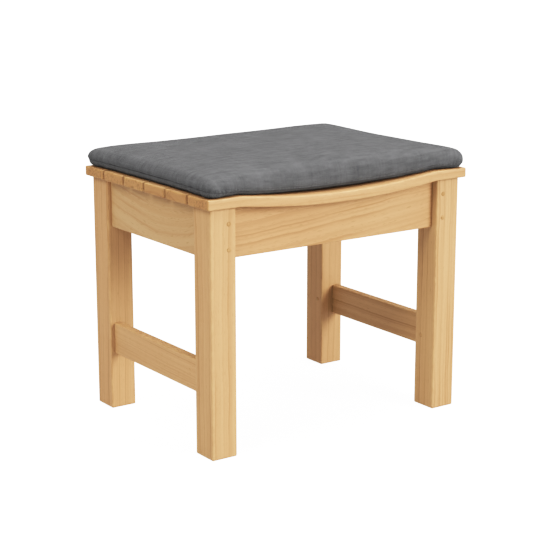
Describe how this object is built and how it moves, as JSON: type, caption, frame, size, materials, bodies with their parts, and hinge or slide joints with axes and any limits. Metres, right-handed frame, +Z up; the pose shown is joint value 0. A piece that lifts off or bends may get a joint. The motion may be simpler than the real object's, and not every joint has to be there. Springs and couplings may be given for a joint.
{
  "type": "slatted bench seat",
  "caption": "Small oak bench seat with a dished slatted top on square legs, joined by aprons and side stretchers with draw-pegged tenons, and a loose woven grey cushion that lifts off.",
  "frame": {"origin": "on the floor, under the middle of the bench", "axes": "+X along the bench to the right as seen from its front, +Y from the front to the back, +Z up"},
  "size_m": [0.5416, 0.4058, 0.474],
  "materials": {
    "oak_frame": "pale oiled oak, straight grain along each piece, satin",
    "oak_slats": "pale oiled oak, grain along the slat, open end grain, satin",
    "oak_pegs": "oak draw pegs, end grain showing, slightly darker",
    "hidden_hardwood": "planed unfinished hardwood",
    "screw_steel": "zinc-plated wood screws",
    "cushion_fabric": "mid grey basket weave, matt",
    "cushion_filling": "cream open-cell foam, hidden in the cover"
  },
  "bodies": {
    "frame": {"leg_front_left": "oak_frame", "leg_front_right": "oak_frame", "leg_back_left": "oak_frame", "leg_back_right": "oak_frame", "apron_front": "oak_frame", "apron_back": "oak_frame", "apron_left": "oak_frame", "apron_right": "oak_frame", "stretcher_left": "oak_frame", "stretcher_right": "oak_frame", "slat_1": "oak_slats", "slat_2": "oak_slats", "slat_3": "oak_slats", "slat_4": "oak_slats", "slat_5": "oak_slats", "slat_6": "oak_slats", "seat_bearer": "hidden_hardwood", "cleat_left": "hidden_hardwood", "cleat_right": "hidden_hardwood", "apron_peg_front_left_1": "oak_pegs", "apron_peg_front_left_2": "oak_pegs", "apron_peg_front_right_1": "oak_pegs", "apron_peg_front_right_2": "oak_pegs", "apron_peg_back_left_1": "oak_pegs", "apron_peg_back_left_2": "oak_pegs", "apron_peg_back_right_1": "oak_pegs", "apron_peg_back_right_2": "oak_pegs", "side_peg_front_left_1": "oak_pegs", "side_peg_front_left_2": "oak_pegs", "side_peg_front_right_1": "oak_pegs", "side_peg_front_right_2": "oak_pegs", "side_peg_back_left_1": "oak_pegs", "side_peg_back_left_2": "oak_pegs", "side_peg_back_right_1": "oak_pegs", "side_peg_back_right_2": "oak_pegs", "stretcher_peg_front_left": "oak_pegs", "stretcher_peg_front_right": "oak_pegs", "stretcher_peg_back_left": "oak_pegs", "stretcher_peg_back_right": "oak_pegs", "slat_dowel_front_left": "hidden_hardwood", "slat_dowel_front_right": "hidden_hardwood", "slat_dowel_back_left": "hidden_hardwood", "slat_dowel_back_right": "hidden_hardwood", "cleat_screw_left_2": "screw_steel", "cleat_screw_left_3": "screw_steel", "cleat_screw_left_4": "screw_steel", "cleat_screw_left_5": "screw_steel", "cleat_screw_right_2": "screw_steel", "cleat_screw_right_3": "screw_steel", "cleat_screw_right_4": "screw_steel", "cleat_screw_right_5": "screw_steel", "bearer_screw_1": "screw_steel", "bearer_screw_2": "screw_steel", "bearer_screw_3": "screw_steel", "bearer_screw_4": "screw_steel", "bearer_screw_5": "screw_steel", "bearer_screw_6": "screw_steel"},
    "cushion": {"cushion_cover": "cushion_fabric", "cushion_foam": "cushion_filling"}
  },
  "joints": [
    {"name": "cushion_lift", "type": "slide", "parent": "frame", "child": "cushion", "axis": [0, 0, 1], "range_m": [0, 0.15]}
  ]
}
